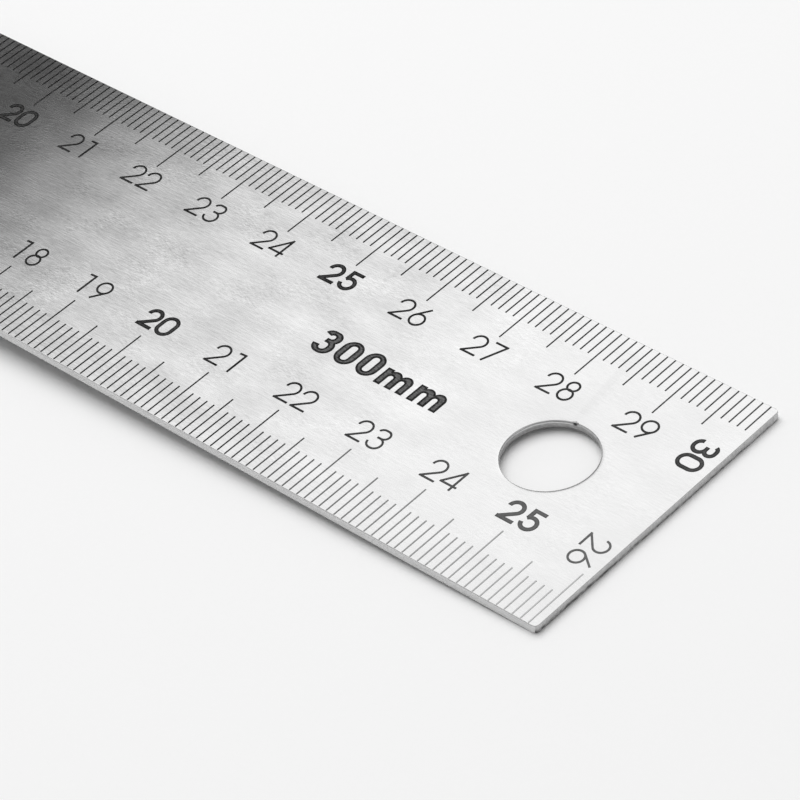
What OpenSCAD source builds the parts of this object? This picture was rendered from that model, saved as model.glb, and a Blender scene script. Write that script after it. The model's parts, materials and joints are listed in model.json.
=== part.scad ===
// Try square: a graduated steel blade riveted at 90 degrees into a slotted
// aluminium stock. The blade runs along X, the stock along Y, and the broad
// face of the stock lies on z = 0. The origin is the middle of the underside
// of the whole square.

/* [Blade] */
// Length of the blade, from the outer corner of the square to its free end
blade_len = 300; // [200:10:400]
// Width of the blade
blade_w = 36; // [30:1:60]
// Thickness of the blade
blade_t = 1; // [0.8:0.1:2]
// Rounding of the two corners at the free end
corner_r = 0.5; // [0.2:0.1:3]
// Diameter of the hanging hole
hang_d = 10; // [5:0.5:12]
// Distance from the free end to the middle of the hanging hole
hang_inset = 14.3; // [10:0.1:20]

/* [Stock] */
// Width of the stock, which is also where the inner scale starts
stock_w = 39; // [36:1:60]
// Length of the stock
stock_len = 150; // [100:5:250]
// Thickness of the stock
stock_t = 15; // [10:0.5:24]
// Chamfer along the edges of the stock
stock_chamfer = 0.6; // [0.2:0.1:1.5]
// Number of grip flutes on each broad face
flutes = 3; // [1:1:3]
// Depth of a grip flute
flute_depth = 0.5; // [0.2:0.1:0.8]

/* [Rivets] */
// Diameter of a rivet's shank
rivet_d = 4; // [3:0.5:5]
// Diameter of a rivet's countersunk head
rivet_head_d = 7; // [6:0.5:8]
// Distance from the middle of a rivet to the edges of the joint
rivet_inset = 7.5; // [6:0.5:8]

/* [Scales] */
// Length of the 1 mm lines
line_1 = 4.4; // [3:0.1:5]
// Length of the 5 mm lines
line_5 = 6.1; // [5:0.1:6.5]
// Length of the 10 mm lines
line_10 = 7.6; // [6:0.1:8]
// Width of a line
line_w = 0.14; // [0.1:0.02:0.3]
// Height of the numerals
numeral_h = 3; // [2:0.1:3.2]
// Distance from a blade edge to the middle of its numerals
numeral_inset = 10; // [9.8:0.1:10.5]
// Height of the size mark
mark_h = 3.5; // [2:0.1:4]
// Distance from the free end to the middle of the size mark
mark_inset = 36.6; // [34:0.1:60]

/* [Hidden] */
$fn = 64;

cut = 1;                                 // how far a cutting tool runs past a face
cheek_t = (stock_t - blade_t) / 2;       // stock on each side of the slot
blade_top = cheek_t + blade_t;
back_x = rivet_inset;                    // rivets near the stock's outer face
front_x = stock_w - rivet_inset;         // rivets near the stock's inner face
inner_y = rivet_inset;                   // rivets near the blade's inner edge
outer_y = blade_w - rivet_inset;         // rivets near the blade's outer edge
head_h = (rivet_head_d - rivet_d) / 2;   // 90 degree countersink
flute_r = 1.6;
flute_pitch = 4.5;

fill_t = 0.03;                           // thickness of the black filling
edge_gap = 0.1;                          // bare metal between a line and the edge
line_shift = 0.25;                       // the lines sit this much towards the outer edge
numeral_shift = 0.45;                    // the numerals sit this much towards it
mark_shift = 0.15;                       // and so does the size mark
hang_shift = 0.4;                        // and so does the hanging hole
inner_shift = 0.12;                      // the inner scale's numerals sit this much towards the free end
// Strokes, times the height: [upright, level]
light = [0.078, 0.078];
bold = [0.155, 0.145];
heavy = [0.24, 0.17];
end_room = 3.5;                          // a numeral nearer than this to the end is turned
end_numeral_gap = 1;                     // from the free end to the top of a turned numeral

// ---- where things are: x from the outer corner, y from the blade's inner edge ----

module in_place()
    translate([-blade_len / 2, stock_len / 2 - blade_w, 0]) children();

module on_blade() in_place() translate([0, 0, blade_top]) children();

// ---- blade ----

module blade_outline() {
    square([blade_len - corner_r, blade_w]);
    translate([0, corner_r]) square([blade_len, blade_w - 2 * corner_r]);
    for (y = [corner_r, blade_w - corner_r])
        translate([blade_len - corner_r, y]) circle(corner_r);
}

module blade()
    color("gainsboro") in_place() translate([0, 0, cheek_t]) difference() {
        linear_extrude(blade_t) blade_outline();
        translate([blade_len - hang_inset, blade_w / 2 + hang_shift, -cut])
            cylinder(d = hang_d, h = blade_t + 2 * cut);
        for (x = [back_x, front_x], y = [inner_y, outer_y])
            translate([x, y, -cut]) cylinder(d = rivet_d, h = blade_t + 2 * cut);
    }

// ---- stock ----

// A w by h rectangle with its corners chamfered
module chamfered(w, h, c)
    polygon([[c, 0], [w - c, 0], [w, c], [w, h - c],
             [w - c, h], [c, h], [0, h - c], [0, c]]);

// The fluted bar, seen along its length
module stock_section()
    difference() {
        chamfered(stock_w, stock_t, stock_chamfer);
        for (i = [0 : flutes - 1], side = [0, 1])
            translate([stock_w / 2 + (i - (flutes - 1) / 2) * flute_pitch,
                       side == 0 ? flute_depth - flute_r : stock_t - flute_depth + flute_r])
                circle(flute_r);
    }

module stock()
    color("silver") in_place() difference() {
        intersection() {
            translate([0, blade_w, 0]) rotate([90, 0, 0])
                linear_extrude(stock_len) stock_section();
            translate([0, blade_w - stock_len, 0]) rotate([90, 0, 90])
                linear_extrude(stock_w) chamfered(stock_len, stock_t, stock_chamfer);
        }
        translate([-cut, 0, cheek_t]) cube([stock_w + 2 * cut, blade_w + cut, blade_t]);
        for (x = [back_x, front_x], y = [inner_y, outer_y]) translate([x, y, 0]) rivet_solid(cut);
    }

// ---- rivets ----

// A shank with a countersunk head at each face, reaching over past both faces
module rivet_solid(over)
    rotate_extrude() polygon([
        [0, -over], [rivet_head_d / 2, -over], [rivet_head_d / 2, 0], [rivet_d / 2, head_h],
        [rivet_d / 2, stock_t - head_h], [rivet_head_d / 2, stock_t],
        [rivet_head_d / 2, stock_t + over], [0, stock_t + over]]);

module rivet(x, y)
    color("darkgray") in_place() translate([x, y, 0]) rotate_extrude() polygon([
        [0, 0], [rivet_head_d / 2, 0], [rivet_d / 2, head_h],
        [rivet_d / 2, stock_t - head_h], [rivet_head_d / 2, stock_t], [0, stock_t]]);

module rivet_outer_back() rivet(back_x, outer_y);
module rivet_outer_front() rivet(front_x, outer_y);
module rivet_inner_back() rivet(back_x, inner_y);
module rivet_inner_front() rivet(front_x, inner_y);

// ---- strokes of the numerals ----

// The angle at which a line from p touches the circle about c, on its left or right side
function touch(p, c, r, side) = atan2(p.y - c.y, p.x - c.x) + side * acos(r / norm(p - c));

function on_circle(c, r, a) = c + r * [cos(a), sin(a)];

// Half the width of a numeral h high: it grows with the stroke t
function half_w(h, t) = 0.295 * h + 0.3 * t;

module bar(a, b, t)
    translate(a) rotate(atan2(b.y - a.y, b.x - a.x)) translate([0, -t / 2])
        square([norm(b - a), t]);

module ring(c, r, t)
    translate(c) difference() {
        circle(r + t / 2);
        circle(r - t / 2);
    }

module arc(c, r, from, to, t)
    intersection() {
        ring(c, r, t);
        polygon(concat([c], [for (i = [0 : 8]) on_circle(c, 3 * r, from + (to - from) * i / 8)]));
    }

// A w by h rectangle about the origin, with its shorter sides fully rounded
module oval(w, h) {
    d = min(w, h);
    if (w > d) square([w - d, h], center = true);
    if (h > d) square([w, h - d], center = true);
    for (side = [-1, 1]) translate([side * (w - d) / 2, side * (h - d) / 2]) circle(d / 2);
}

// An oval outline with strokes t.x wide at the sides and t.y at the top and bottom
module loop(w, h, t)
    difference() {
        oval(w, h);
        oval(w - 2 * t.x, h - 2 * t.y);
    }

// ---- numerals: h high, standing on y = 0 about x = 0, with strokes t = [upright, level] ----

module numeral_0(h, t) translate([0, h / 2]) loop(0.725 * h, h, t);

module numeral_1(h, t) {
    x = 0.06 * h;
    translate([x - t.x / 2, 0]) square([t.x, h]);
    bar([x - 0.27 * h, h - 0.75 * t.y], [x, h - t.y / 2], t.y);
}

module numeral_2(h, t) {
    r = half_w(h, t.x) - t.x / 2;
    c = [0, h - t.x / 2 - r];
    foot = [-r, t.y / 2];
    turn = touch(foot, c, r, 1);
    arc(c, r, turn - 5, 180, t.x);
    bar(foot, on_circle(c, r, turn), t.x);
    translate([-r - t.x / 2, 0]) square([2 * r + t.x, t.y]);
}

module numeral_3(h, t) {
    w = 2 * half_w(h, t.x);
    low_h = 0.55 * (h + t.y);
    high_h = 0.45 * (h + t.y);
    low_y = low_h / 2;
    high_y = h - high_h / 2;
    difference() {
        union() {
            translate([0, low_y]) loop(w, low_h, t);
            translate([0, high_y]) loop(0.92 * w, high_h, t);
        }
        polygon([[0, low_y], [0, high_y], [-h, high_y + 0.27 * h], [-h, low_y - 0.1 * h]]);
    }
    bar([-0.1 * h, low_h - t.y / 2], [t.x, low_h - t.y / 2], t.y);
}

module numeral_4(h, t) {
    stem = 0.2 * h;
    cross_y = 0.22 * h;
    translate([stem - t.x / 2, 0]) square([t.x, h]);
    bar([-0.35 * h, cross_y], [0.35 * h, cross_y], t.y);
    bar([-0.31 * h, cross_y], [stem, h - 0.6 * t.x], t.x);
}

module numeral_5(h, t) {
    r = 0.35 * h - t.x / 2;
    c = [0.01 * h, t.x / 2 + r];
    arc(c, r, -170, 142, t.x);
    bar(on_circle(c, r, 132), [-0.16 * h, h - t.y / 2], t.x);
    bar([-0.16 * h - t.x / 2, h - t.y / 2], [0.3 * h, h - t.y / 2], t.y);
}

module numeral_6(h, t) {
    r = half_w(h, t.x) - t.x / 2;
    c = [0, t.x / 2 + r];
    top = [0.14 * h, h - t.x / 4];
    ring(c, r, t.x);
    bar(on_circle(c, r, touch(top, c, r, 1)), top, t.x);
}

module numeral_7(h, t) {
    bar([-0.28 * h, h - t.y / 2], [0.28 * h, h - t.y / 2], t.y);
    bar([-0.16 * h, 0], [0.28 * h - t.x / 2, h - t.y / 2], t.x);
}

module numeral_8(h, t) {
    low_r = 0.3 * h - t.x / 2;
    high_r = 0.255 * h - t.x / 2;
    ring([0, t.x / 2 + low_r], low_r, t.x);
    ring([0, h - t.x / 2 - high_r], high_r, t.x);
}

module numeral_9(h, t) translate([0, h]) rotate(180) numeral_6(h, t);

module digit(c, h, t) {
    if (c == "0") numeral_0(h, t);
    if (c == "1") numeral_1(h, t);
    if (c == "2") numeral_2(h, t);
    if (c == "3") numeral_3(h, t);
    if (c == "4") numeral_4(h, t);
    if (c == "5") numeral_5(h, t);
    if (c == "6") numeral_6(h, t);
    if (c == "7") numeral_7(h, t);
    if (c == "8") numeral_8(h, t);
    if (c == "9") numeral_9(h, t);
}

// A whole number about the origin; every fifth one is bold
module number(n) {
    t = numeral_h * (n % 5 == 0 ? bold : light);
    pitch = 0.78 * numeral_h;
    word = str(n);
    for (i = [0 : len(word) - 1])
        translate([(i - (len(word) - 1) / 2) * pitch, -numeral_h / 2]) digit(word[i], numeral_h, t);
}

// Width of the letter m with stems t wide, and of the gaps between its stems
function m_gap(t) = 0.77 * t;
function m_width(t) = 3 * t + 2 * m_gap(t);

// The letter m, h high, standing on y = 0 and starting at x = 0
module letter_m(h, t) {
    gap = m_gap(t);
    gap_top = 0.55 * h;
    square([t, h]);
    for (k = [0, 1]) translate([k * (t + gap), 0]) difference() {
        union() {
            translate([t, 0]) square([t + gap, h - t]);
            translate([t + gap, h - t]) circle(t);
        }
        translate([t, -cut]) square([gap, cut + gap_top]);
        translate([t + gap / 2, gap_top]) circle(gap / 2);
    }
}

// ---- scales ----

module fill() color([0.12, 0.12, 0.13]) on_blade() linear_extrude(fill_t) children();

function line_len(mm) = mm % 10 == 0 ? line_10 : mm % 5 == 0 ? line_5 : line_1;

// Numbers that would run off the free end are turned to read towards the inner edge
module placed_number(n, x, y)
    if (x > blade_len - end_room)
        translate([blade_len - end_numeral_gap - numeral_h / 2, y]) rotate(-90) number(n);
    else
        translate([x, y]) number(n);

module outer_scale_lines()
    fill() for (mm = [ceil(stock_w) + 1 : blade_len - 1])
        translate([mm - line_w / 2, blade_w - line_len(mm) + line_shift])
            square([line_w, line_len(mm) - line_shift - edge_gap]);

module inner_scale_lines()
    fill() for (mm = [1 : floor(blade_len - stock_w - line_w)])
        translate([stock_w + mm - line_w / 2, edge_gap])
            square([line_w, line_len(mm) + line_shift - edge_gap]);

module outer_scale_numerals()
    fill() for (n = [ceil(stock_w / 10 + 0.3) : floor(blade_len / 10)])
        placed_number(n, 10 * n, blade_w - numeral_inset + numeral_shift);

module inner_scale_numerals()
    fill() for (n = [1 : floor((blade_len - stock_w) / 10)])
        placed_number(n, stock_w + 10 * n + inner_shift, numeral_inset + numeral_shift);

// The blade's length with its unit, about the middle line of the blade
module size_mark() {
    stroke = heavy * mark_h;
    word = str(blade_len);
    pitch = 0.875 * mark_h;
    first_m = (len(word) - 1) * pitch + 0.53 * mark_h;
    m_pitch = 1.29 * mark_h;
    left = -half_w(mark_h, stroke.x);
    right = first_m + m_pitch + m_width(stroke.x);
    fill() translate([blade_len - mark_inset - (left + right) / 2, (blade_w - mark_h) / 2 + mark_shift]) {
        for (i = [0 : len(word) - 1]) translate([i * pitch, 0]) digit(word[i], mark_h, stroke);
        for (i = [0, 1]) translate([first_m + i * m_pitch, 0]) letter_m(0.71 * mark_h, stroke.x);
    }
}

blade();
stock();
rivet_outer_back();
rivet_outer_front();
rivet_inner_back();
rivet_inner_front();
outer_scale_lines();
outer_scale_numerals();
inner_scale_lines();
inner_scale_numerals();
size_mark();
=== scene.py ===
"""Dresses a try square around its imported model: brushed blade, etched scales, fluted stock, rivets.

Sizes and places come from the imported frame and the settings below, in metres. Each finish holds the
sizes of its own grain.
"""

import json
from math import cos, pi, radians, sin

import bmesh
import bpy
from bpy.props import FloatProperty, FloatVectorProperty, IntProperty, PointerProperty
from mathutils import Matrix, Quaternion, Vector, noise
from mathutils.kdtree import KDTree


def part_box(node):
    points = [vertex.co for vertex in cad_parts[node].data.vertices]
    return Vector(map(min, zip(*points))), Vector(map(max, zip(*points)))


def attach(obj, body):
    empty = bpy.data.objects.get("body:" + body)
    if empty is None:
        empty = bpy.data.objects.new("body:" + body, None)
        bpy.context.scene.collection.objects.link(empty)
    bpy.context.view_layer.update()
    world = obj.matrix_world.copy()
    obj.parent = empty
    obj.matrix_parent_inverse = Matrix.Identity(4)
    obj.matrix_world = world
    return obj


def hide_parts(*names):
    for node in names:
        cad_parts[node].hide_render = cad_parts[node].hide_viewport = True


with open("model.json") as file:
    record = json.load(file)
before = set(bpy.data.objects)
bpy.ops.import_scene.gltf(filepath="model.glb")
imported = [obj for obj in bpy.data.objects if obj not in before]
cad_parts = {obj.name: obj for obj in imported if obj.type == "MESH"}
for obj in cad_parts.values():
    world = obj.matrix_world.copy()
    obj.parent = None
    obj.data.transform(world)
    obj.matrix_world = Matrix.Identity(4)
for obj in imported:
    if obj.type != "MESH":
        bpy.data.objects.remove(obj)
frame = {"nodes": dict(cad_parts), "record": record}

bl_info = {
    "name": "Try Square",
    "version": (1, 0, 0),
    "blender": (4, 5, 0),
    "location": "3D View > Sidebar > Try Square",
    "description": "Builds the look of a graduated steel try square on its packed frame",
    "category": "Add Mesh",
}

MM = 0.001
UP = Vector((0, 0, 1))

BLADE_LOW, BLADE_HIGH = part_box("blade")
RIVETS = sorted(name for name in frame["nodes"] if name.startswith("rivet_"))
HOLE = next(mount for mount in frame["record"]["mounts"] if mount["name"] == "hanging_hole")
HOLE_RADIUS = HOLE["dims"]["r_mm"] * MM
HOLE_CENTRE = Vector((HOLE["pos_m"][0], HOLE["pos_m"][1], BLADE_HIGH.z))

# The blade's materials, in the order of its slots
FACE, LONG_EDGE, END, HOLE_WALL = range(4)
# The stock's materials
SATIN, WORN_AND_GLINT = range(2)


def length(name, default, description, **more):
    return FloatProperty(name=name, description=description, default=default,
                         subtype="DISTANCE", unit="LENGTH", precision=5, **more)


def share(name, default, description):
    return FloatProperty(name=name, description=description, default=default, min=0, max=1)


def angle(name, degrees, description):
    return FloatProperty(name=name, description=description, default=radians(degrees),
                         subtype="ANGLE", unit="ROTATION")


def tone(name, default, description):
    return FloatVectorProperty(name=name, description=description, default=default,
                               subtype="COLOR", size=3, min=0, max=1)


# ---- settings ----

class BladeSettings(bpy.types.PropertyGroup):
    corner: length("Corner", 0.5 * MM, "Rounding of the two corners at the free end")
    rolled: length("Rolled edge", 0.08 * MM, "Radius of the edges round the face")
    worn: length("Lower edge", 0.06 * MM, "Radius of the edges round the back")
    pitch: length("Pitch", 1 * MM, "Spacing of the points along the long edges")
    end_pitch: length("End pitch", 0.2 * MM, "Spacing of the points along the sheared end")
    tear: length("Tear", 0.09 * MM, "Depth of the torn zone of the sheared end")
    lip: length("Lip", 0.45 * MM, "Width of the drawn rim round the hanging hole")
    drawn: length("Drawn", 0.06 * MM, "How far that rim is drawn down")
    nick: length("Nick", 0.42 * MM, "Reach of the dent in the hanging hole's lip")
    nick_turn: angle("Nick turn", 102, "Where the dent is, turned from the X axis")
    rivet_hole: length("Rivet hole", 4 * MM, "Diameter of the holes for the rivets")
    hole_points: IntProperty(name="Hole points", description="Points round the hanging hole",
                             default=128, min=32)
    rivet_points: IntProperty(name="Rivet hole points", description="Points round the holes for the rivets",
                              default=32, min=16)
    steel: tone("Steel", (0.613, 0.613, 0.613), "Colour of the brushed stainless steel")
    # Lighter than the face's steel: painted light for the lit table that the long edges mirror.
    ground: tone("Ground edge", (0.713, 0.713, 0.713), "Colour of the ground long edges")
    brushing: share("Brushing", 0.13, "Roughness of the brushed face")
    direction: share("Direction", 0.6, "How strongly the brushing has a direction")
    # Where the brushing's colour contrast peaks, and how much stronger it gets there: painted reflection of
    # the screen's dark band, laid over the real grain.
    reflection_contrast_at: length("Deep brushing", 90 * MM, "How far from the free end the brushing shows at its strongest")
    depth: FloatProperty(name="Depth", description="How much stronger the brushing shows there",
                         default=5.6, min=0)


class MarkSettings(bpy.types.PropertyGroup):
    black: tone("Black", (0.008, 0.008, 0.008), "Colour of the etched black")
    # The grey that the marks turn to by the free end, and where it begins: partly wear, partly painted
    # sheen.
    faded_and_sheen: tone("Faded", (0.52, 0.52, 0.52), "Colour of the etched black where it is worn through")
    fading: length("Fading", 42 * MM, "How far from the free end the wear of the marks begins")
    outline: length("Outline", 0.23 * MM, "Width of the black outline of the size mark")
    numeral_outline: length("Numeral outline", 0.15 * MM, "Width of the black outline of the bold numerals")
    sunk: length("Sunk", 0.012 * MM, "Depth of the core of the size mark below its outline")
    core: tone("Core", (0.095, 0.095, 0.095), "Colour of the core of the size mark")
    numeral_core: share("Numeral core", 0.3, "Lightness of the bold numerals' core, next to the size mark's")
    # These shares grey the marks by the free end: partly wear, partly painted sheen.
    inner_numerals: share("Inner numerals", 0.22, "Wear of the inner scale's numerals at the free end")
    outer_numerals: share("Outer numerals", 0.05, "Wear of the outer scale's numerals at the free end")
    inner_lines: share("Inner lines", 1.0, "Wear of the inner scale's lines at the free end")
    outer_lines: share("Outer lines", 0.12, "Wear of the outer scale's lines at the free end")


class StockSettings(bpy.types.PropertyGroup):
    eased: length("Eased edge", 0.15 * MM, "Radius along the edges of the stock")
    aluminium: tone("Aluminium", (0.52, 0.525, 0.53), "Colour of the satin aluminium")
    head_edge: length("Head edge", 0.18 * MM, "Rounding of a rivet's head")
    shank: length("Shank", 4 * MM, "Diameter of a rivet's shank")
    steps: IntProperty(name="Steps", description="Steps round a rivet", default=64, min=16)


class StageSettings(bpy.types.PropertyGroup):
    floor: tone("Floor", (0.872, 0.872, 0.872), "Colour of the table")
    backdrop: share("Backdrop", 0.9, "Brightness of what is seen past the table")
    room: FloatProperty(name="Room", description="Strength of the light from all round", default=0.46, min=0)
    room_lean: share("Room lean", 0.1, "How much of the room's light leans to the side away from the camera")
    mirrored: share("Mirrored room", 0.85, "Strength of the room that metal mirrors, straight above")
    horizon: share("Mirrored horizon", 0.3, "Share of that strength which is left at the horizon")
    lamp: FloatProperty(name="Lamp", description="Power of the soft box", default=12.1, min=0, unit="POWER")
    lamp_side: length("Lamp side", 1.2, "Side of the square soft box")
    lamp_away: length("Lamp away", 1.2, "Distance of the soft box from the blade")
    lamp_high: angle("Lamp height", 67, "Height of the soft box over the blade's plane")
    lamp_turn: angle("Lamp turn", 8, "Turn of the soft box from straight across the camera")
    screen: FloatProperty(name="Screen", description="Brightness of the pale screen that the blade mirrors",
                          default=1.47, min=0)
    screen_away: length("Screen away", 0.7, "Distance of the pale screen from the blade")
    screen_wide: length("Screen width", 1.8, "Size of the pale screen along the blade")
    screen_high: length("Screen height", 1.6, "Size of the pale screen across the blade")
    lean: length("Lean", 3 * MM, "How far the screen's bands lean towards the free end, across the blade")
    dim_at: length("Dim at", 145 * MM, "Where the blade mirrors the screen's dim end, from the free end")
    dim: share("Dim", 0.5, "Brightness of the screen's dim end")
    band_at: length("Band at", 110 * MM,
                    "Where the blade mirrors the black band's far side, from the free end")
    dark_at: length("Dark at", 95 * MM,
                    "Where the blade mirrors the black band's near side, from the free end")
    dusk_at: length("Dusk at", 87.5 * MM,
                    "Where the blade mirrors the screen's dark grey, from the free end")
    dusk: share("Dusk", 0.35, "Brightness of the screen's dark grey")
    grey_at: length("Grey at", 70 * MM, "Where the blade mirrors the screen's grey, from the free end")
    grey: share("Grey", 0.74, "Brightness of the screen's grey")
    light_at: length("Light at", 42 * MM,
                     "Where the blade mirrors the screen's light grey, from the free end")
    light: share("Light", 0.85, "Brightness of the screen's light grey")
    pale_at: length("Pale at", 25 * MM,
                    "Where the blade mirrors the screen at its palest, from the free end")
    pale: share("Pale", 0.98, "Brightness of the screen at its palest")
    tip: share("Tip", 0.92, "Brightness of the screen that the free end itself mirrors")


class CameraSettings(bpy.types.PropertyGroup):
    azimuth: angle("Azimuth", 49.5, "Direction of the camera round the square")
    elevation: angle("Elevation", 41.134, "Height of the camera over the blade's plane")
    roll: angle("Roll", -10.03, "Turn of the camera about its own axis")
    back: length("Back", 31.9 * MM, "How far from the free end the camera looks")
    across: length("Across", 15.9 * MM, "How far from the inner edge the camera looks")
    distance: length("Distance", 356.4 * MM, "Distance from the camera to the face of the blade")
    lens: FloatProperty(name="Lens", description="Focal length", default=161.97, unit="CAMERA")


class SquareSettings(bpy.types.PropertyGroup):
    blade: PointerProperty(type=BladeSettings)
    marks: PointerProperty(type=MarkSettings)
    stock: PointerProperty(type=StockSettings)
    stage: PointerProperty(type=StageSettings)
    camera: PointerProperty(type=CameraSettings)


# ---- finishes ----

class Finish:
    """A material under construction. Its methods add nodes and return the output to go on with."""

    def __init__(self, name):
        self.material = bpy.data.materials.new(name)
        self.material.use_nodes = True
        self.tree = self.material.node_tree
        self.shader = self.tree.nodes["Principled BSDF"]
        self.place = self.node("ShaderNodeTexCoord").outputs["Object"]

    def node(self, kind, inputs=None, **settings):
        made = self.tree.nodes.new(kind)
        for key, value in settings.items():
            setattr(made, key, value)
        for key, value in (inputs or {}).items():
            self.put(made.inputs[key], value)
        return made

    def put(self, socket, value):
        if isinstance(value, bpy.types.NodeSocket):
            self.tree.links.new(value, socket)
        else:
            socket.default_value = value

    def set(self, **sockets):
        for key, value in sockets.items():
            self.put(self.shader.inputs[key.replace("_", " ")], value)

    def grain(self, size, turn=0.0, detail=2.0, roughness=0.55, shift=(0, 0, 0)):
        """Noise whose spots measure size along X, Y and Z, turned about Z."""
        turned = self.node("ShaderNodeMapping", {"Vector": self.place, "Rotation": (0, 0, turn),
                                                 "Location": shift})
        scaled = self.node("ShaderNodeMapping", {"Vector": turned.outputs[0],
                                                 "Scale": tuple(1 / part for part in size)})
        spots = self.node("ShaderNodeTexNoise", {"Vector": scaled.outputs[0], "Scale": 1.0,
                                                 "Detail": detail, "Roughness": roughness})
        return spots.outputs["Fac"]

    def spread(self, value, low, high, to_low=0.0, to_high=1.0):
        """Value's span from low to high, stretched to the span from to_low to to_high."""
        return self.node("ShaderNodeMapRange", {"Value": value, "From Min": low, "From Max": high,
                                                "To Min": to_low, "To Max": to_high}).outputs[0]

    def slopes(self, value, *stops):
        """Levels at given values, joined by straight slopes."""
        total = stops[0][1]
        for (here, level), (there, next_level) in zip(stops, stops[1:]):
            total = self.sum(total, self.spread(value, here, there, 0.0, next_level - level))
        return total

    def sum(self, *values):
        total = values[0]
        for value in values[1:]:
            total = self.node("ShaderNodeMath", {0: total, 1: value}, operation="ADD").outputs[0]
        return total

    def product(self, a, b):
        return self.node("ShaderNodeMath", {0: a, 1: b}, operation="MULTIPLY").outputs[0]

    def coordinate(self, axis):
        return self.node("ShaderNodeSeparateXYZ", {0: self.place}).outputs[axis]

    def blend(self, share, first, second):
        mixed = self.node("ShaderNodeMix", data_type="RGBA")
        colours = [socket for socket in mixed.inputs if socket.type == "RGBA"]
        for socket, value in zip([mixed.inputs["Factor"]] + colours, (share, first, second)):
            self.put(socket, value)
        return next(socket for socket in mixed.outputs if socket.type == "RGBA")

    def shade(self, colour, value):
        """A colour made lighter or darker by value, where 1 leaves it."""
        return self.node("ShaderNodeVectorMath", {0: colour, "Scale": value}, operation="SCALE").outputs[0]

    def relief(self, height, depth):
        bump = self.node("ShaderNodeBump", {"Height": height, "Strength": 1.0, "Distance": depth})
        self.set(Normal=bump.outputs[0])

    def across_grain(self, layer):
        """Spreads the gloss along U of a UV layer."""
        tangent = self.node("ShaderNodeTangent", direction_type="UV_MAP", uv_map=layer)
        self.set(Tangent=tangent.outputs[0])


def rgba(colour):
    return (*colour, 1.0)


def brushed_steel(settings):
    """The broad faces: short scratches along the blade, patches of slanting ones, soft clouds. Their colour
    contrast is raised most about where the blade mirrors the screen's black band, as painted reflection.
    """
    finish = Finish("brushed_steel")
    short = finish.grain((1.5 * MM, 0.16 * MM, 1), detail=2, roughness=0.6)
    long = finish.grain((4 * MM, 0.17 * MM, 1), detail=1, shift=(0.4, 0.2, 0))
    slanting = finish.grain((1 * MM, 0.18 * MM, 1), turn=radians(24), shift=(0.1, 0.3, 0))
    counter = finish.grain((0.9 * MM, 0.18 * MM, 1), turn=radians(-38), shift=(0.2, 0.5, 0))
    clouds = finish.grain((6 * MM, 3 * MM, 1), detail=0, shift=(0.7, 0.1, 0))
    patches = finish.spread(finish.grain((7 * MM, 5 * MM, 1), shift=(0.3, 0.9, 0)), 0.45, 0.6)
    crossing = finish.product(patches, finish.sum(slanting, counter, -1.0))
    lines = finish.sum(finish.product(short, 0.8), finish.product(long, 0.2),
                       finish.product(crossing, 0.6), -0.5)
    streaks = finish.sum(finish.product(lines, 0.18), finish.product(clouds, 0.08), -0.04)
    tip, reflection_contrast_at, depth = BLADE_HIGH.x, settings.reflection_contrast_at, settings.depth
    # Painted reflection: the grain's colour contrast swells where the blade mirrors the screen's black band.
    grain_and_reflection_contrast = finish.slopes(finish.coordinate("X"), (tip - 1.5 * reflection_contrast_at, 0.4 * depth), (tip - reflection_contrast_at, depth),
                             (tip - 0.5 * reflection_contrast_at, 0.6 * depth), (tip - 0.2 * reflection_contrast_at, 1.0))
    light = finish.sum(1.0, finish.product(streaks, grain_and_reflection_contrast))
    rough = finish.spread(lines, -0.25, 0.25, settings.brushing + 0.03, settings.brushing - 0.03)
    finish.set(Base_Color=finish.shade(tuple(settings.steel), light), Roughness=rough,
               Metallic=1.0, Anisotropic=settings.direction)
    finish.relief(finish.sum(finish.product(lines, 0.5), finish.product(clouds, 0.6)), 0.008 * MM)
    finish.across_grain("Grain")
    return finish.material


def ground_steel(settings):
    """The long edges: ground lengthwise, their steel painted lighter than the face's as painted light for
    the lit table that they mirror.
    """
    finish = Finish("ground_steel")
    lines = finish.grain((6 * MM, 1, 0.12 * MM), detail=3)
    spots = finish.grain((0.8 * MM, 1, 0.4 * MM), shift=(0.2, 0, 0.6))
    light = finish.sum(finish.spread(lines, 0.3, 0.7, 0.9, 1.06),
                       finish.spread(spots, 0.3, 0.7, -0.04, 0.04))
    # The edges' lighter tone is painted light.
    finish.set(Base_Color=finish.shade(tuple(settings.ground), light), Metallic=1.0,
               Roughness=finish.spread(lines, 0.3, 0.7, 0.62, 0.5))
    finish.relief(lines, 0.006 * MM)
    return finish.material


def sheared_steel(settings):
    """The sheared ends: burnished above, torn and dull below, as the Torn attribute says."""
    finish = Finish("sheared_steel")
    torn = finish.node("ShaderNodeAttribute", attribute_name="Torn").outputs["Fac"]
    streaks = finish.grain((1, 0.3 * MM, 0.9 * MM), detail=3)
    crumbs = finish.grain((0.6 * MM, 0.6 * MM, 0.35 * MM), detail=3, roughness=0.65)
    bright = finish.spread(streaks, 0.3, 0.7, 0.76, 0.98)
    dull = finish.spread(crumbs, 0.38, 0.62, 0.3, 0.9)
    light = finish.node("ShaderNodeMix", {"Factor": torn, "A": bright, "B": dull}, data_type="FLOAT")
    finish.set(Base_Color=finish.shade(tuple(settings.steel), light.outputs[0]), Metallic=1.0,
               Roughness=finish.spread(torn, 0, 1, 0.45, 0.75))
    finish.relief(finish.sum(finish.product(crumbs, torn), finish.product(streaks, 0.3)), 0.03 * MM)
    return finish.material


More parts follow.
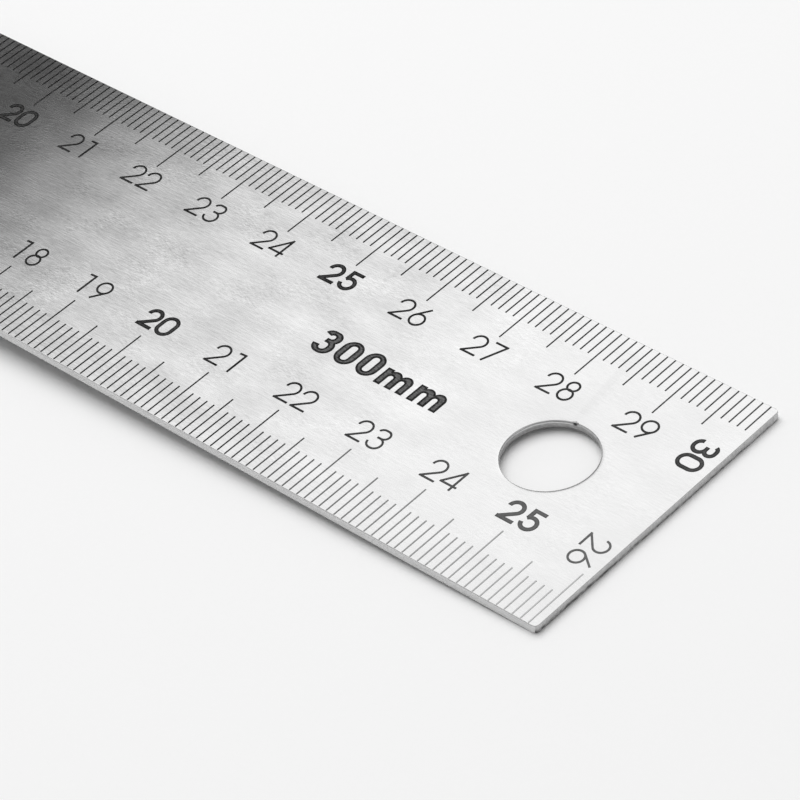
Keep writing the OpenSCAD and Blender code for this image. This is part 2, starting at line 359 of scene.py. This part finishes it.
def punched_steel(settings):
    """The wall of the hanging hole: below the lip, painted shade along a grooved band and a painted
    highlight on the burr under it, then darker bands, and a painted shadow under the dent.
    """
    finish = Finish("punched_steel")
    wander = finish.grain((1.5 * MM, 1.5 * MM, 3 * MM), detail=2)
    depth = finish.sum(BLADE_HIGH.z, finish.product(finish.coordinate("Z"), -1.0),
                       finish.spread(wander, 0.3, 0.7, -0.05 * MM, 0.05 * MM))
    bands = finish.slopes(depth, (0.1 * MM, 1.0), (0.45 * MM, 0.62), (0.85 * MM, 0.52), (1 * MM, 0.32))
    # Painted shade in the grooved band and a painted highlight on the burr below it, strongest on the dent's
    # side of the hole.
    groove_shade_and_burr_glint = finish.slopes(depth, (0.1 * MM, 0.0), (0.15 * MM, -0.5), (0.22 * MM, -0.45), (0.3 * MM, 0.45),
                           (0.36 * MM, 0.45), (0.44 * MM, 0.0))
    streaks = finish.grain((4 * MM, 4 * MM, 0.14 * MM), detail=3)
    specks = finish.grain((0.3 * MM, 0.3 * MM, 0.14 * MM), detail=3, shift=(0.5, 0.5, 0.5))
    nick = nick_place(settings)
    from_nick_shadow = finish.node("ShaderNodeVectorMath", {0: finish.place, 1: nick - 0.22 * MM * UP},
                            operation="DISTANCE").outputs["Value"]
    side = finish.slopes(finish.coordinate("X"), (nick.x - 5 * MM, 0.3), (nick.x - 2 * MM, 1.0),
                         (nick.x - 0.6 * MM, 1.0), (nick.x + 0.5 * MM, 0.0))
    light = finish.sum(bands, finish.product(groove_shade_and_burr_glint, side), finish.spread(streaks, 0.35, 0.65, -0.08, 0.08),
                       finish.spread(specks, 0.3, 0.7, -0.1, 0.1))
    # Painted shadow: the wall darkens round a spot just under the dent in the lip.
    light = finish.product(light, finish.spread(from_nick_shadow, 0.14 * MM, 0.3 * MM, 0.15, 1.0))
    finish.set(Base_Color=finish.shade(tuple(settings.steel), light), Metallic=1.0,
               Roughness=finish.spread(streaks, 0.3, 0.7, 0.5, 0.36))
    finish.relief(finish.sum(streaks, finish.product(specks, 0.5)), 0.015 * MM)
    return finish.material


def etched_black(settings, name, wear_and_sheen, pale=0.0):
    """Etched marks: matt black with fine mottling, turning grey by the free end as far as the wear argument
    says; that grey is partly wear and partly painted sheen.

    Heavy strokes have a hatched core, where the Core attribute nears 1, as much lighter as pale says.
    """
    finish = Finish(name)
    mottle = finish.grain((0.3 * MM, 0.22 * MM, 1), detail=2, roughness=0.6)
    rubs = finish.grain((3 * MM, 2.5 * MM, 1), shift=(0.3, 0.3, 0))
    hatch = finish.grain((0.9 * MM, 0.16 * MM, 1), turn=radians(8), detail=2)
    tip = BLADE_HIGH.x
    # Partly wear, partly painted sheen: the black turns grey towards the free end.
    worn = finish.sum(finish.spread(finish.coordinate("X"), tip - settings.fading, tip, 0.0, wear_and_sheen),
                      finish.spread(mottle, 0.4, 0.75, 0.0, 0.05), finish.spread(rubs, 0.45, 0.7, 0.0, 0.03))
    inside = finish.node("ShaderNodeAttribute", attribute_name="Core").outputs["Fac"]
    core = finish.spread(finish.sum(inside, finish.product(mottle, 0.4), -0.2), 0.42, 0.62)
    light = finish.sum(finish.spread(hatch, 0.3, 0.7, 0.5 * pale, 1.5 * pale),
                       finish.spread(mottle, 0.3, 0.7, -0.25 * pale, 0.25 * pale))
    black = finish.blend(core, rgba(settings.black), finish.shade(tuple(settings.core), light))
    finish.set(Base_Color=finish.blend(worn, black, rgba(settings.faded_and_sheen)),
               Roughness=finish.spread(mottle, 0.3, 0.7, 0.75, 0.55), Specular_IOR_Level=0.05)
    finish.relief(finish.sum(mottle, finish.product(hatch, core)), 0.006 * MM)
    return finish.material


def satin_aluminium(settings, name, wear_and_sheen):
    """The stock: satin drawn along its length, with faint rubs; the wear argument makes it paler and
    glossier, which on the eased edges is partly wear and partly a painted highlight.
    """
    finish = Finish(name)
    drawn = finish.grain((0.16 * MM, 7 * MM, 0.16 * MM), detail=3)
    frost = finish.grain((0.2 * MM, 0.2 * MM, 0.2 * MM), detail=2, shift=(0.2, 0.4, 0.6))
    rubs = finish.grain((14 * MM, 22 * MM, 10 * MM), detail=3, shift=(0.9, 0.2, 0.4))
    # The eased edges are painted paler: partly wear, partly a painted highlight along them.
    light = finish.sum(finish.spread(drawn, 0.3, 0.7, 0.86, 1.1),
                       finish.spread(frost, 0.3, 0.7, -0.04, 0.04),
                       finish.spread(rubs, 0.3, 0.7, -0.07, 0.07), 0.35 * wear_and_sheen)
    finish.set(Base_Color=finish.shade(tuple(settings.aluminium), light), Metallic=1.0,
               Roughness=finish.sum(finish.spread(rubs, 0.3, 0.7, 0.24, 0.32), -0.06 * wear_and_sheen))
    finish.relief(finish.sum(drawn, finish.product(frost, 0.4)), 0.008 * MM)
    return finish.material


def turned_steel(settings, name, centre):
    """A rivet's heads: turned rings about its axis, and fine specks."""
    finish = Finish(name)
    about = finish.node("ShaderNodeMapping", {"Vector": finish.place, "Location": (-centre.x, -centre.y, 0)})
    waves = {"Vector": about.outputs[0], "Scale": 900.0, "Distortion": 0.6, "Detail": 2.0}
    rings = finish.node("ShaderNodeTexWave", waves, wave_type="RINGS", rings_direction="Z").outputs["Fac"]
    specks = finish.grain((0.3 * MM, 0.3 * MM, 0.3 * MM), detail=3)
    light = finish.sum(finish.spread(rings, 0, 1, 0.9, 1.04), finish.spread(specks, 0.3, 0.7, -0.06, 0.06))
    finish.set(Base_Color=finish.shade(tuple(settings.steel), light), Metallic=1.0,
               Roughness=finish.spread(specks, 0.3, 0.7, 0.3, 0.42))
    finish.relief(finish.sum(rings, finish.product(specks, 0.4)), 0.01 * MM)
    return finish.material


def table_top(settings):
    """The pale table: matt, with a barely visible tooth."""
    finish = Finish("table_top")
    tooth = finish.grain((0.5 * MM, 0.5 * MM, 0.5 * MM), detail=2)
    finish.set(Base_Color=finish.shade(tuple(settings.floor), finish.spread(tooth, 0.3, 0.7, 0.997, 1.003)),
               Roughness=0.9, Specular_IOR_Level=0.0)
    return finish.material


# ---- meshes ----

def piece(name, bm, materials, slot=None, stands_for=()):
    """Makes a finished bmesh an object of its own. Given a slot, it rides with the square and hides the
    parts that it stands for.
    """
    mesh = bpy.data.meshes.new(name)
    bm.to_mesh(mesh)
    bm.free()
    for material in materials:
        mesh.materials.append(material)
    made = bpy.data.objects.new(name, mesh)
    bpy.context.scene.collection.objects.link(made)
    if slot:
        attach(made, "root")
        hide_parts(*stands_for)
    return made


def merged_copy(node):
    """The CAD node's mesh with its loose triangles joined into whole faces."""
    bm = bmesh.new()
    bm.from_mesh(frame["nodes"][node].data)
    bmesh.ops.remove_doubles(bm, verts=bm.verts, dist=0.002 * MM)
    bmesh.ops.dissolve_limit(bm, angle_limit=radians(1), verts=bm.verts, edges=bm.edges)
    return bm


def smooth(bm, limit):
    """Smooth shading, kept crisp along edges that turn by more than limit."""
    for face in bm.faces:
        face.smooth = True
    for edge in bm.edges:
        edge.smooth = len(edge.link_faces) == 2 and edge.calc_face_angle(0) < limit


def blade_outline(settings):
    """The edges of the blade's face: its rounded outline and its holes, on z = 0."""
    bm = bmesh.new()
    middle = (BLADE_LOW + BLADE_HIGH) / 2
    size = BLADE_HIGH - BLADE_LOW
    bmesh.ops.create_grid(bm, x_segments=1, y_segments=1, size=0.5)
    bmesh.ops.scale(bm, vec=(size.x, size.y, 1), verts=bm.verts)
    bmesh.ops.translate(bm, vec=(middle.x, middle.y, 0), verts=bm.verts)
    corners = [vert for vert in bm.verts if vert.co.x > middle.x]
    bmesh.ops.bevel(bm, geom=corners, affect="VERTICES", offset=settings.corner, segments=5,
                    profile=0.5, material=-1)
    bmesh.ops.delete(bm, geom=bm.faces[:], context="FACES_ONLY")
    for edge in bm.edges[:]:
        across = abs(edge.verts[0].co.x - edge.verts[1].co.x) < edge.calc_length() / 2
        free_end = across and edge.verts[0].co.x > middle.x
        pitch = settings.end_pitch if free_end else settings.pitch
        cuts = round(edge.calc_length() / pitch) - 1
        if cuts > 0:
            bmesh.ops.subdivide_edges(bm, edges=[edge], cuts=cuts)
    bmesh.ops.create_circle(bm, cap_ends=False, segments=settings.hole_points, radius=HOLE_RADIUS,
                            matrix=Matrix.Translation((HOLE_CENTRE.x, HOLE_CENTRE.y, 0)))
    for name in RIVETS:
        low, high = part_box(name)
        place = Matrix.Translation(((low.x + high.x) / 2, (low.y + high.y) / 2, 0))
        bmesh.ops.create_circle(bm, cap_ends=False, segments=settings.rivet_points,
                                radius=settings.rivet_hole / 2, matrix=place)
    return bm


def roll_edge(bm, faces, radius, steps, way):
    """Rounds the rim of a flat region that faces up (way = 1) or down (way = -1).

    Flat rings inside the rounding keep its shading off the rest of the region.
    """
    for step in range(steps):
        here, there = (pi / 2 * k / steps for k in (step, step + 1))
        bmesh.ops.inset_region(bm, faces=faces, use_boundary=True, use_even_offset=True,
                               thickness=radius * (cos(here) - cos(there)))
        inner = {vert for face in faces for vert in face.verts}
        bmesh.ops.translate(bm, verts=list(inner), vec=way * UP * radius * (sin(there) - sin(here)))
    for ring in (0.03 * MM, 0.1 * MM, 0.25 * MM):
        bmesh.ops.inset_region(bm, faces=faces, use_boundary=True, use_even_offset=True, thickness=ring)


def tear_end(bm, settings):
    """Sinks the lower part of the sheared end, below a ragged line, and marks it as torn."""
    torn = bm.verts.layers.float.new("Torn")
    width = BLADE_HIGH.y - BLADE_LOW.y
    for vert in bm.verts:
        gap = BLADE_HIGH.x - vert.co.x
        if gap > settings.corner + 0.3 * MM:
            continue
        across = (vert.co.y - BLADE_LOW.y) / width
        ragged = noise.noise(Vector((across * 14, 3, 0))) + 0.5 * noise.noise(Vector((across * 45, 7, 0)))
        break_line = 0.5 + 0.3 * across + 0.16 * ragged
        down = (BLADE_HIGH.z - vert.co.z) / (BLADE_HIGH.z - BLADE_LOW.z)
        depth = min(max((down - break_line) / 0.12, 0), 1)
        if depth > 0:
            crumbs = noise.noise(Vector((across * 160, vert.co.z / (0.14 * MM), 5)))
            vert.co.x -= settings.tear * depth * (0.7 + 0.6 * crumbs)
            vert[torn] = depth


def sink_lip(bm, settings):
    """Draws the face down a little round the hanging hole, as the punch did."""
    for vert in bm.verts:
        away = (vert.co.xy - HOLE_CENTRE.xy).length - HOLE_RADIUS
        near = 1 - max(away, 0) / settings.lip
        shallow = 1 - (BLADE_HIGH.z - vert.co.z) / (0.3 * MM)
        if near > 0 and shallow > 0:
            vert.co.z -= settings.drawn * near * near * shallow


def nick_way(settings):
    """The way from the hanging hole's centre to the dent in its lip."""
    return Vector((cos(settings.nick_turn), sin(settings.nick_turn), 0))


def nick_place(settings):
    return HOLE_CENTRE + HOLE_RADIUS * nick_way(settings)


def nick_rim(bm, settings):
    """Dents the hole's lip at one place on its far side, where the punch left a burr."""
    place = nick_place(settings)
    for vert in bm.verts:
        near = 1 - (vert.co - place).length / settings.nick
        if near > 0:
            vert.co += near * settings.nick * (0.5 * nick_way(settings) - 0.3 * UP)


def thicken(bm, settings):
    """Makes the outline a slab with rows of faces in its walls, short of its rounded edges."""
    bmesh.ops.triangle_fill(bm, edges=bm.edges[:], use_beauty=True, normal=UP)
    bmesh.ops.translate(bm, verts=bm.verts, vec=UP * (BLADE_LOW.z + settings.worn))
    raised = bmesh.ops.extrude_face_region(bm, geom=bm.faces[:], use_keep_orig=True)
    wall = BLADE_HIGH.z - BLADE_LOW.z - settings.rolled - settings.worn
    bmesh.ops.translate(bm, vec=UP * wall,
                        verts=[part for part in raised["geom"] if isinstance(part, bmesh.types.BMVert)])
    bmesh.ops.recalc_face_normals(bm, faces=bm.faces)
    upright = [edge for edge in bm.edges if abs(edge.verts[0].co.z - edge.verts[1].co.z) > wall / 2]
    bmesh.ops.subdivide_edges(bm, edges=upright, cuts=6, use_grid_fill=True)


def finish_walls(bm):
    """Gives the walls of the blade their own materials."""
    for face in bm.faces:
        if abs(face.normal.z) > 0.5:
            continue
        from_hole = (face.calc_center_median().xy - HOLE_CENTRE.xy).length
        if from_hole < HOLE_RADIUS + 0.5 * MM:
            face.material_index = HOLE_WALL
        elif abs(face.normal.x) > 0.6:
            face.material_index = END
        else:
            face.material_index = LONG_EDGE


def lay_grain(bm):
    """A UV layer whose U runs across the blade's brushing."""
    uv = bm.loops.layers.uv.new("Grain")
    for face in bm.faces:
        for loop in face.loops:
            loop[uv].uv = ((loop.vert.co.y + loop.vert.co.z) * 10, loop.vert.co.x * 10)


def build_blade(settings):
    bm = blade_outline(settings)
    thicken(bm, settings)
    top = [face for face in bm.faces if face.normal.z > 0.9]
    bottom = [face for face in bm.faces if face.normal.z < -0.9]
    roll_edge(bm, top, settings.rolled, steps=4, way=1)
    roll_edge(bm, bottom, settings.worn, steps=2, way=-1)
    finish_walls(bm)
    tear_end(bm, settings)
    sink_lip(bm, settings)
    nick_rim(bm, settings)
    lay_grain(bm)
    smooth(bm, radians(40))
    finishes = {FACE: brushed_steel, LONG_EDGE: ground_steel, END: sheared_steel, HOLE_WALL: punched_steel}
    materials = [finishes[slot](settings) for slot in sorted(finishes)]
    return piece("blade_dressed", bm, materials, slot="blade_steel", stands_for=["blade"])


def refine(bm, step):
    """Splits the upward faces until their edges are no longer than step, in 12 rounds at most."""
    for _ in range(12):
        tops = [face for face in bm.faces if face.normal.z > 0.9]
        bmesh.ops.triangulate(bm, faces=tops, quad_method="BEAUTY", ngon_method="BEAUTY")
        long = [edge for edge in bm.edges if edge.calc_length() > step and edge.link_faces[0].normal.z > 0.9]
        if not long:
            return
        bmesh.ops.subdivide_edges(bm, edges=long, cuts=1)


def build_mark(name, settings, outline, wear_and_sheen, pale):
    """A node of characters. Strokes wider than two outlines have a sunk, lighter core between these."""
    bm = merged_copy(name)
    refine(bm, outline / 2)
    rim = [vert for vert in bm.verts if any(face.normal.z > 0.9 for face in vert.link_faces)
           and any(face.normal.z < 0.5 for face in vert.link_faces)]
    tree = KDTree(len(rim))
    for number, vert in enumerate(rim):
        tree.insert(vert.co, number)
    tree.balance()
    core = bm.verts.layers.float.new("Core")
    for vert in bm.verts:
        inside = tree.find(vert.co)[2] / outline - 0.5
        vert[core] = min(max(inside, 0), 1)
    for vert in bm.verts:
        vert.co.z -= settings.sunk * vert[core]
    return piece(name + "_dressed", bm, [etched_black(settings, name + "_black", wear_and_sheen, pale)],
                 slot="black_fill", stands_for=[name])


def build_marks(settings):
    build_mark("size_mark", settings, settings.outline, wear_and_sheen=0.0, pale=1.0)
    for name, wear_and_sheen in (("inner_scale_numerals", settings.inner_numerals),
                       ("outer_scale_numerals", settings.outer_numerals)):
        build_mark(name, settings, settings.numeral_outline, wear_and_sheen, settings.numeral_core)


def ink_lines(settings):
    """The lines keep their CAD shape and get the etched black, turned grey by the free end: partly wear,
    partly painted sheen.
    """
    for name, wear_and_sheen in (("inner_scale_lines", settings.inner_lines),
                       ("outer_scale_lines", settings.outer_lines)):
        mesh = frame["nodes"][name].data
        mesh.materials.clear()
        mesh.materials.append(etched_black(settings, name + "_black", wear_and_sheen))


def build_stock(settings):
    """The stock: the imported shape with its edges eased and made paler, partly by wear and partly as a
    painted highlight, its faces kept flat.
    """
    bm = merged_copy("stock")
    sharp = [edge for edge in bm.edges
             if len(edge.link_faces) == 2 and edge.calc_face_angle(0) > radians(25)]
    eased = bmesh.ops.bevel(bm, geom=sharp, affect="EDGES", offset=settings.eased, segments=2,
                            profile=0.5, material=WORN_AND_GLINT, clamp_overlap=True)["faces"]
    smooth(bm, radians(35))
    for face in set(bm.faces) - set(eased):
        face.smooth = False
    # The eased edges get a paler copy of the satin: wear with a painted highlight.
    finishes = {SATIN: ("satin_aluminium", 0), WORN_AND_GLINT: ("worn_aluminium", 1)}
    materials = [satin_aluminium(settings, *finishes[slot]) for slot in sorted(finishes)]
    return piece("stock_dressed", bm, materials, slot="stock_aluminium", stands_for=["stock"])


def build_rivet(name, settings, steel):
    """A rivet spun about its axis, its heads rounded into the countersinks."""
    low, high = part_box(name)
    centre = (low + high) / 2
    head = (high.x - low.x) / 2
    shank = settings.shank / 2
    sink = head - shank
    edge = settings.head_edge
    # From the axis outwards: the head, a ring pressed into it, its rounded rim, and the shank
    half = [(0, high.z), (head - 2.2 * edge, high.z), (head - 1.6 * edge, high.z - 0.3 * edge),
            (head - edge, high.z), (head - 0.3 * edge, high.z - 0.3 * edge), (head - edge, high.z - edge),
            (shank, high.z - sink)]
    profile = half + [(r, low.z + high.z - z) for r, z in reversed(half)]
    bm = bmesh.new()
    points = [bm.verts.new((centre.x + r, centre.y, z)) for r, z in profile]
    edges = [bm.edges.new(pair) for pair in zip(points, points[1:])]
    bmesh.ops.spin(bm, geom=points + edges, cent=(centre.x, centre.y, 0), axis=UP, angle=2 * pi,
                   steps=settings.steps, use_merge=True)
    bmesh.ops.remove_doubles(bm, verts=bm.verts, dist=0.001 * MM)
    bmesh.ops.recalc_face_normals(bm, faces=bm.faces)
    smooth(bm, radians(30))
    return piece(name + "_dressed", bm, [turned_steel(steel, name + "_steel", centre)],
                 slot="rivet_steel", stands_for=[name])


# ---- stage ----

def floor_line():
    """The two places where the square touches the table: under the stock and under the blade's tip."""
    resting = [vert.co.x for vert in frame["nodes"]["stock"].data.vertices if vert.co.z < 0.01 * MM]
    return Vector((max(resting), 0, 0)), Vector((BLADE_HIGH.x, 0, BLADE_LOW.z))


def build_floor(settings):
    heel, tip = floor_line()
    slope = (tip - heel).normalized()
    turned = Matrix((slope, (0, 1, 0), slope.cross(Vector((0, 1, 0))))).transposed().to_4x4()
    bm = bmesh.new()
    # A hair below the square, so that the two surfaces stay apart
    bmesh.ops.create_circle(bm, cap_ends=True, segments=96, radius=4,
                            matrix=Matrix.Translation(heel - 0.02 * MM * UP) @ turned)
    floor = piece("table", bm, [table_top(settings)])


def between(tree, value, low, high, start=0.0):
    """Low where value is at start or below, high where it is 1, and a straight slope between them."""
    made = tree.nodes.new("ShaderNodeMapRange")
    made.inputs["From Min"].default_value = start
    for key, level in (("Value", value), ("To Min", low), ("To Max", high)):
        if isinstance(level, bpy.types.NodeSocket):
            tree.links.new(level, made.inputs[key])
        else:
            made.inputs[key].default_value = level
    return made.outputs[0]


def room_light(settings, camera):
    """Soft light from all round, more of it from the side away from the camera.

    Metal mirrors another room, pale above and darker towards the horizon. The camera sees a bright
    backdrop.
    """
    world = bpy.data.worlds.new("room")
    world.use_nodes = True
    world.cycles.sampling_method = "NONE"
    bpy.context.scene.world = world
    tree = world.node_tree
    direction = tree.nodes.new("ShaderNodeTexCoord").outputs["Generated"]
    lean = tree.nodes.new("ShaderNodeVectorMath")
    lean.operation = "DOT_PRODUCT"
    lean.inputs[1].default_value = (-sin(camera.azimuth), cos(camera.azimuth), 0)
    tree.links.new(direction, lean.inputs[0])
    room = between(tree, lean.outputs["Value"], settings.room * (1 - settings.room_lean),
                   settings.room * (1 + settings.room_lean), start=-1)
    height = tree.nodes.new("ShaderNodeSeparateXYZ")
    tree.links.new(direction, height.inputs[0])
    mirrored_room = between(tree, height.outputs["Z"], settings.mirrored * settings.horizon,
                            settings.mirrored)
    rays = tree.nodes.new("ShaderNodeLightPath")
    to_metal = between(tree, rays.outputs["Is Glossy Ray"], room, mirrored_room)
    to_camera = between(tree, rays.outputs["Is Camera Ray"], to_metal, settings.backdrop)
    background = tree.nodes["Background"]
    background.inputs["Color"].default_value = (1, 1, 1, 1)
    tree.links.new(to_camera, background.inputs["Strength"])


def mirrored(camera, back, away, across=0.5):
    """The place that the camera sees mirrored in a point of the blade.

    That point lies back from the free end, at the share across of the blade's width. Away is the
    distance between the two.
    """
    span = BLADE_HIGH.y - BLADE_LOW.y
    point = Vector((BLADE_HIGH.x - back, BLADE_LOW.y + across * span, BLADE_HIGH.z))
    towards = (point - camera_place(camera)).normalized()
    towards.z *= -1
    return point + away * towards


def mirrored_axes(camera, back, away, lean):
    """Axes at that place: along what the blade mirrors, across it, and away from the blade.

    Those along and across lean as far as lean says on the blade.
    """
    out = (mirrored(camera, back, away) - mirrored(camera, back, 0)).normalized()
    across = mirrored(camera, back - lean, away, across=1) - mirrored(camera, back, away, across=0)
    along = across.cross(out).normalized()
    return Matrix((along, out.cross(along), out)).transposed()


def soft_box(settings, camera):
    """The soft box, high on the side away from the camera. It lights the table and throws the shadows."""
    lamp = bpy.data.lights.new("soft_box", "AREA")
    lamp.shape = "SQUARE"
    lamp.size = settings.lamp_side
    lamp.energy = settings.lamp
    box = bpy.data.objects.new("soft_box", lamp)
    a, e = camera.azimuth + settings.lamp_turn, settings.lamp_high
    out = Vector((-sin(a) * cos(e), cos(a) * cos(e), sin(e)))
    box.location = camera_target(camera) + settings.lamp_away * out
    box.rotation_euler = out.to_track_quat("Z", "Y").to_euler()
    box.visible_camera = box.visible_glossy = False
    bpy.context.scene.collection.objects.link(box)


def pale_screen(settings, camera):
    """The screen that the blade mirrors: pale towards the free end, then grey, a black band, and dim.

    Only glossy surfaces see it.
    """
    middle = mirrored(camera, settings.grey_at, settings.screen_away)
    axes = mirrored_axes(camera, settings.grey_at, settings.screen_away, settings.lean)
    stops = ((settings.dim_at, settings.dim), (settings.band_at, 0.0), (settings.dark_at, 0.0),
             (settings.dusk_at, settings.dusk), (settings.grey_at, settings.grey),
             (settings.light_at, settings.light), (settings.pale_at, settings.pale), (0, settings.tip))
    levels = [((axes.transposed() @ (mirrored(camera, back, settings.screen_away) - middle)).x, level)
              for back, level in stops]
    bm = bmesh.new()
    bmesh.ops.create_grid(bm, x_segments=1, y_segments=1, size=0.5)
    bmesh.ops.scale(bm, vec=(settings.screen_wide, settings.screen_high, 1), verts=bm.verts)
    finish = Finish("screen")
    level = finish.slopes(finish.coordinate("X"), *levels)
    # Towards one long rim the screen fades out, towards the other it grows a little brighter
    height = finish.slopes(finish.coordinate("Y"), (-0.75, 0.05), (-0.45, 1.0), (0, 1.0), (0.35, 1.2))
    finish.set(Base_Color=(0, 0, 0, 1), Emission_Color=(1, 1, 1, 1), Roughness=1.0, Specular_IOR_Level=0.0,
               Emission_Strength=finish.product(finish.product(level, height), settings.screen))
    screen = piece("screen", bm, [finish.material])
    screen.matrix_world = Matrix.Translation(middle) @ axes.to_4x4()
    screen.visible_camera = screen.visible_diffuse = screen.visible_shadow = False


def camera_back(settings):
    """The direction from what the camera looks at to the camera."""
    a, e = settings.azimuth, settings.elevation
    return Vector((sin(a) * cos(e), -cos(a) * cos(e), sin(e)))


def camera_target(settings):
    return Vector((BLADE_HIGH.x - settings.back, BLADE_LOW.y + settings.across, BLADE_HIGH.z))


def camera_place(settings):
    return camera_target(settings) + settings.distance * camera_back(settings)


def place_camera(settings):
    scene = bpy.context.scene
    lens = bpy.data.cameras.new("camera")
    lens.lens = settings.lens
    lens.sensor_width = 36
    lens.clip_start = 0.01
    lens.clip_end = 20
    camera = bpy.data.objects.new("camera", lens)
    camera.location = camera_place(settings)
    level = camera_back(settings).to_track_quat("Z", "Y")
    camera.rotation_euler = (level @ Quaternion((0, 0, 1), settings.roll)).to_euler()
    scene.collection.objects.link(camera)
    scene.camera = camera


# ---- operators ----

class SQUARE_OT_blade(bpy.types.Operator):
    """Build the brushed blade with its rolled edges, sheared end and hanging hole"""
    bl_idname = "square.blade"
    bl_label = "Blade"

    def execute(self, context):
        build_blade(context.scene.try_square.blade)
        return {"FINISHED"}


class SQUARE_OT_marks(bpy.types.Operator):
    """Fill the scales' lines with etched black and build the numerals and the size mark"""
    bl_idname = "square.marks"
    bl_label = "Scales and size mark"

    def execute(self, context):
        ink_lines(context.scene.try_square.marks)
        build_marks(context.scene.try_square.marks)
        return {"FINISHED"}


class SQUARE_OT_stock(bpy.types.Operator):
    """Build the satin aluminium stock with eased edges"""
    bl_idname = "square.stock"
    bl_label = "Stock"

    def execute(self, context):
        build_stock(context.scene.try_square.stock)
        return {"FINISHED"}


class SQUARE_OT_rivets(bpy.types.Operator):
    """Build the four countersunk rivets"""
    bl_idname = "square.rivets"
    bl_label = "Rivets"

    def execute(self, context):
        settings = context.scene.try_square
        for name in RIVETS:
            build_rivet(name, settings.stock, settings.blade)
        return {"FINISHED"}


class SQUARE_OT_stage(bpy.types.Operator):
    """Set up the pale table, the soft light and the camera"""
    bl_idname = "square.stage"
    bl_label = "Stage"

    def execute(self, context):
        settings = context.scene.try_square
        context.scene.view_settings.view_transform = "Standard"
        build_floor(settings.stage)
        room_light(settings.stage, settings.camera)
        soft_box(settings.stage, settings.camera)
        pale_screen(settings.stage, settings.camera)
        place_camera(settings.camera)
        return {"FINISHED"}


STEPS = (SQUARE_OT_blade, SQUARE_OT_marks, SQUARE_OT_stock, SQUARE_OT_rivets, SQUARE_OT_stage)


class VIEW3D_PT_try_square(bpy.types.Panel):
    """Lists the steps that build the square and their settings"""
    bl_idname = "VIEW3D_PT_try_square"
    bl_label = "Try Square"
    bl_space_type = "VIEW_3D"
    bl_region_type = "UI"
    bl_category = "Try Square"

    def draw(self, context):
        for step in STEPS:
            self.layout.operator(step.bl_idname)
        settings = context.scene.try_square
        for group in (settings.blade, settings.marks, settings.stock, settings.stage, settings.camera):
            box = self.layout.box()
            for name in group.__annotations__:
                box.prop(group, name)


CLASSES = (BladeSettings, MarkSettings, StockSettings, StageSettings, CameraSettings, SquareSettings,
           *STEPS, VIEW3D_PT_try_square)


def register():
    for kind in CLASSES:
        bpy.utils.register_class(kind)
    bpy.types.Scene.try_square = PointerProperty(type=SquareSettings)


def unregister():
    del bpy.types.Scene.try_square
    for kind in reversed(CLASSES):
        bpy.utils.unregister_class(kind)


def main():
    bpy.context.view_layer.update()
    register()
    for step in STEPS:
        group, name = step.bl_idname.split(".")
        getattr(getattr(bpy.ops, group), name)()


if __name__ == "__main__":
    main()
